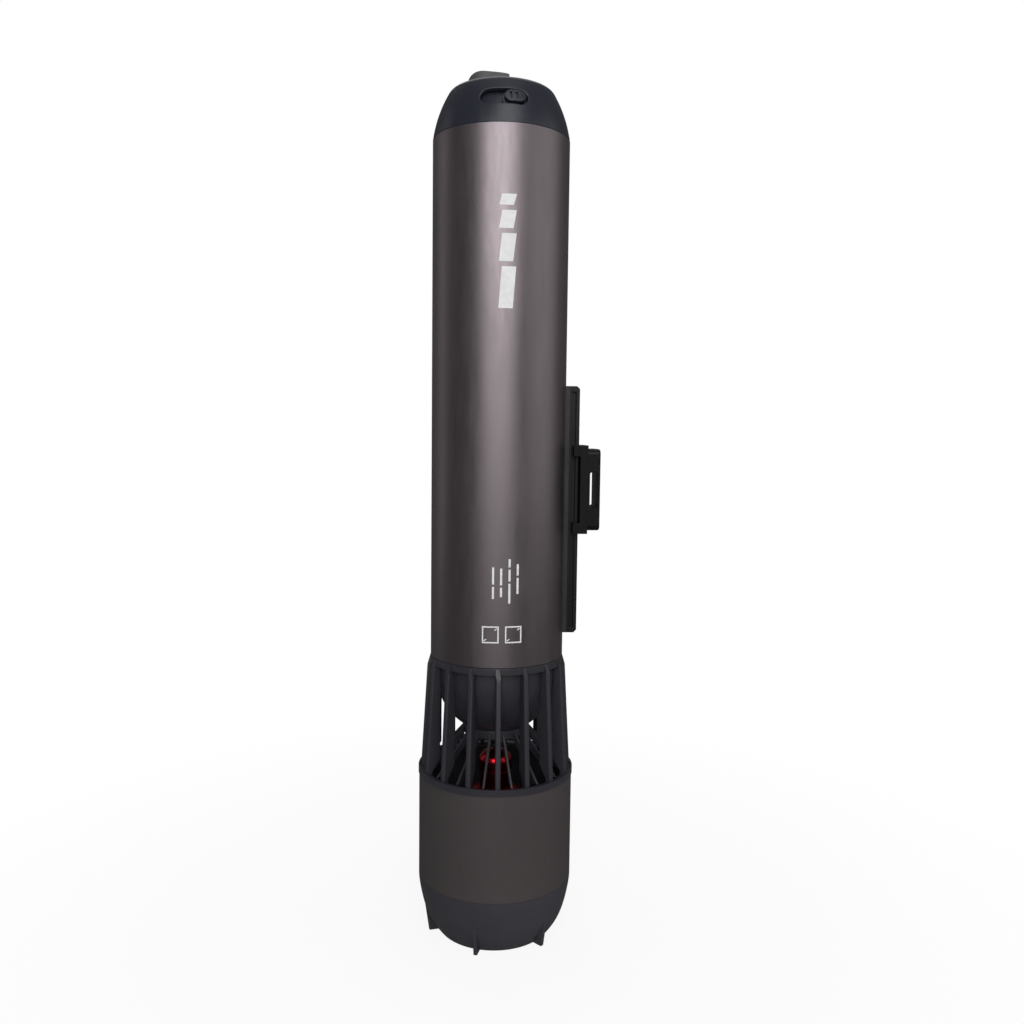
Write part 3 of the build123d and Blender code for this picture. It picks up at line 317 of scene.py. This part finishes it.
tube_r = high("body_tube").x
tube_low = low("body_tube").z
tube_high = high("body_tube").z
tube_bore_r = tube_r - TUBE_WALL
tube_ends = [(tube_bore_r, tube_low), (tube_r, tube_low), (tube_r, tube_high), (tube_bore_r, tube_high)]
bm = turned(tube_ends, TUBE_STEPS)
outer_edges = [e for e in sharp_edges(bm) if e.verts[0].co.xy.length > tube_r - TUBE_WALL / 4]
round_edges(bm, outer_edges, TUBE_EDGE_R, 3)
piece("hull_tube", bm, "hull", hull_anodised, ["body_tube"])

# Each piece, the CAD node it stands for, and the radius its edges are eased to in millimetres
for name, node, edge_r in (
    ("nose_shell", "nose_cap", 0.15),
    ("switch_button", "switch_knob", 0.3),
    ("port_cover", "port_flap", 0.4),
    ("tail_collar", "cage_ring", 0.3),
    ("cage_bars", "intake_ribs", 0.3),
    ("lead_bar", "lead_rib", 0.3),
    ("duct_lip", "duct_flange", 0.25),
    ("guard_hoop", "guard_ring", 0.4),
    ("guard_bars", "guard_spokes", 0.25),
    ("duct_skin", "duct_sleeve", 0.25),
    ("jet_nozzle", "nozzle", 0.3),
    ("rail_bar", "mount_rail", 0.25),
    ("shoe_plate", "shoe_base", 0.35),
    ("strap_bridge", "strap_block", 0.35),
    ("spinner", "rotor_bell", 0.25),
):
    eased(name, node, edge_r * MM)

# ------------------------------------------------------------------ printed bars on the tube
PRINT_THICK = 0.08 * MM
PRINT_STEP = 1.0 * MM
FRAME_LOW = 171.4
FRAME_TALL = 9.0
FRAME_HALF = 4.1
FRAME_LINE = 0.7


def printed_bar(bm, across, bottom, wide, tall, lean=0.0):
    """A flat bar laid on the tube, centred across mm from its front line and leaning by lean mm."""
    wide, tall, lean, across, bottom = (v * MM for v in (wide, tall, lean, across, bottom))
    columns = max(1, round(wide / PRINT_STEP))
    made = bmesh.ops.create_grid(bm, x_segments=columns, y_segments=1, size=0.5)["verts"]
    for vert in made:
        share = vert.co.y + 0.5
        angle = (across + vert.co.x * wide + (share - 0.5) * lean) / tube_r
        height = bottom + share * tall
        vert.co = Vector((tube_r * sin(angle), -tube_r * cos(angle), height))


# Bottoms, heights and places are in millimetres up the hull and round the tube
bm = bmesh.new()
for bottom, tall in ((345.0, 21.0), (368.5, 14.0), (385.0, 9.0), (396.5, 5.5)):
    printed_bar(bm, 2.4, bottom, 7.4, tall, 1.6)
for across, runs in (
    (9.6, ((197.5, 8.5), (207.2, 6.0))),
    (5.2, ((192.5, 10.5), (204.2, 6.2), (211.6, 4.4))),
    (0.8, ((196.0, 5.0), (202.2, 8.8))),
    (-3.4, ((195.0, 6.4), (202.6, 9.0))),
):
    for bottom, tall in runs:
        printed_bar(bm, across, bottom, 1.1, tall)
for across in (-4.6, 7.6):
    for side in (-FRAME_HALF, FRAME_HALF):
        printed_bar(bm, across + side, FRAME_LOW, FRAME_LINE, FRAME_TALL)
    for bottom in (FRAME_LOW, FRAME_LOW + FRAME_TALL - FRAME_LINE):
        printed_bar(bm, across, bottom, 2 * FRAME_HALF + FRAME_LINE, FRAME_LINE)
    printed_bar(bm, across, FRAME_LOW + 1.2, 0.8, 6.6, 6.6)
bmesh.ops.recalc_face_normals(bm, faces=bm.faces)
for face in bm.faces:
    outwards = face.calc_center_median() * Vector((1, 1, 0))
    if face.normal.dot(outwards) < 0:
        face.normal_flip()
bmesh.ops.solidify(bm, geom=bm.faces, thickness=-PRINT_THICK)
bmesh.ops.recalc_face_normals(bm, faces=bm.faces)
piece("hull_print", bm, "hull", print_white)

# ------------------------------------------------------------------ studio
CAMERA_PLACE = Vector((0.0079, -0.5224, 0.2815))
CAMERA_RIGHT = Vector((0.99994, 0.00095, 0.01128))
CAMERA_UP = Vector((-0.01132, 0.08369, 0.99643))
CAMERA_BACK = Vector((0.0, -0.99649, 0.08369))
CAMERA_TURN = -2.8

camera_data = bpy.data.cameras.new("camera")
camera = bpy.data.objects.new("camera", camera_data)
bpy.context.scene.collection.objects.link(camera)
camera_data.lens = 33.0
camera_data.sensor_width = 36.0
camera_data.clip_start = 0.01
camera_data.clip_end = 50.0
turn = Matrix.Rotation(radians(CAMERA_TURN), 3, "Z")
camera_axes = Matrix((turn @ CAMERA_RIGHT, turn @ CAMERA_UP, turn @ CAMERA_BACK)).transposed()
camera.matrix_world = Matrix.Translation(turn @ CAMERA_PLACE) @ camera_axes.to_4x4()
bpy.context.scene.camera = camera


def soft_box(name, azimuth, distance, height, width, tall, power, aim=0.25):
    """A soft box aimed at a height on the hull axis; azimuth 0 is in front, turning to +X."""
    data = bpy.data.lights.new(name, "AREA")
    data.shape = "RECTANGLE"
    data.size = width
    data.size_y = tall
    data.energy = power
    lamp = bpy.data.objects.new(name, data)
    bpy.context.scene.collection.objects.link(lamp)
    place = Vector((sin(radians(azimuth)) * distance, -cos(radians(azimuth)) * distance, height))
    lamp.location = place
    lamp.rotation_euler = (place - Vector((0, 0, aim))).to_track_quat("Z", "Y").to_euler()


soft_box("key_high", azimuth=-3.0, distance=1.8, height=1.0, width=1.7, tall=1.05, power=17.5)
soft_box("key_low", azimuth=-3.0, distance=1.8, height=0.08, width=1.7, tall=0.75, power=1.3)
soft_box("key_top", azimuth=13.0, distance=1.5, height=2.0, width=1.1, tall=0.8, power=8.5, aim=0.45)
soft_box("side_box", azimuth=74.0, distance=1.6, height=0.75, width=1.7, tall=1.4, power=4.6)
soft_box("left_strip", azimuth=-112.0, distance=1.4, height=0.6, width=0.5, tall=1.4, power=0.8)
soft_box("rear_box", azimuth=180.0, distance=1.1, height=1.9, width=1.4, tall=1.0, power=5.0)
soft_box("top_box", azimuth=0.0, distance=0.01, height=1.9, width=1.2, tall=1.2, power=1.5)

world = bpy.data.worlds.new("studio")
bpy.context.scene.world = world
world.use_nodes = True
tree = world.node_tree
shown = node_of(tree, "ShaderNodeBackground", Color=(1, 1, 1, 1), Strength=1.0)
light = node_of(tree, "ShaderNodeBackground", Color=(1, 1, 1, 1), Strength=0.09)
path = tree.nodes.new("ShaderNodeLightPath")
blend = tree.nodes.new("ShaderNodeMixShader")
tree.links.new(path.outputs["Is Camera Ray"], blend.inputs[0])
tree.links.new(light.outputs[0], blend.inputs[1])
tree.links.new(shown.outputs[0], blend.inputs[2])
tree.links.new(blend.outputs[0], output_of(tree, "OUTPUT_WORLD"))
bpy.context.scene.view_settings.view_transform = "Standard"

# The floor glows a little to the camera, more so further out, which keeps it pale
FLOOR_R = 1.6
FLOOR_DROP = 0.2 * MM
GLOW_SHARES = (0.9, 1.0)
GLOW_DISTANCES = (0.03, 0.4)

floor_finish, tree, shader = blank_finish("floor_white")
coords = tree.nodes.new("ShaderNodeTexCoord").outputs["Object"]
reach = node_of(tree, "ShaderNodeVectorMath", Vector=coords)
reach.operation = "LENGTH"
paper = noise(tree, coords, 900.0, 3.0).outputs["Fac"]
paper_tone = two_tone(tree, spread(tree, paper, 0.0, 1.0), (0.88, 0.88, 0.88), (0.92, 0.92, 0.92))
tree.links.new(paper_tone, shader.inputs["Base Color"])
shader.inputs["Roughness"].default_value = 0.9
glow = node_of(tree, "ShaderNodeEmission", Color=(1, 1, 1, 1), Strength=1.0)
fade = tree.nodes.new("ShaderNodeMixShader")
seen = node_of(tree, "ShaderNodeMath")
seen.operation = "MULTIPLY"
tree.links.new(spread(tree, reach.outputs["Value"], *GLOW_SHARES, *GLOW_DISTANCES), seen.inputs[0])
tree.links.new(tree.nodes.new("ShaderNodeLightPath").outputs["Is Camera Ray"], seen.inputs[1])
tree.links.new(seen.outputs[0], fade.inputs[0])
tree.links.new(shader.outputs[0], fade.inputs[1])
tree.links.new(glow.outputs[0], fade.inputs[2])
tree.links.new(fade.outputs[0], output_of(tree, "OUTPUT_MATERIAL"))
bm = bmesh.new()
bmesh.ops.create_circle(bm, cap_ends=True, segments=96, radius=FLOOR_R)
floor_mesh = bpy.data.meshes.new("floor")
bm.to_mesh(floor_mesh)
bm.free()
floor_mesh.materials.append(floor_finish)
floor = bpy.data.objects.new("floor", floor_mesh)
bpy.context.scene.collection.objects.link(floor)
floor.location.z = -FLOOR_DROP
floor.visible_glossy = False
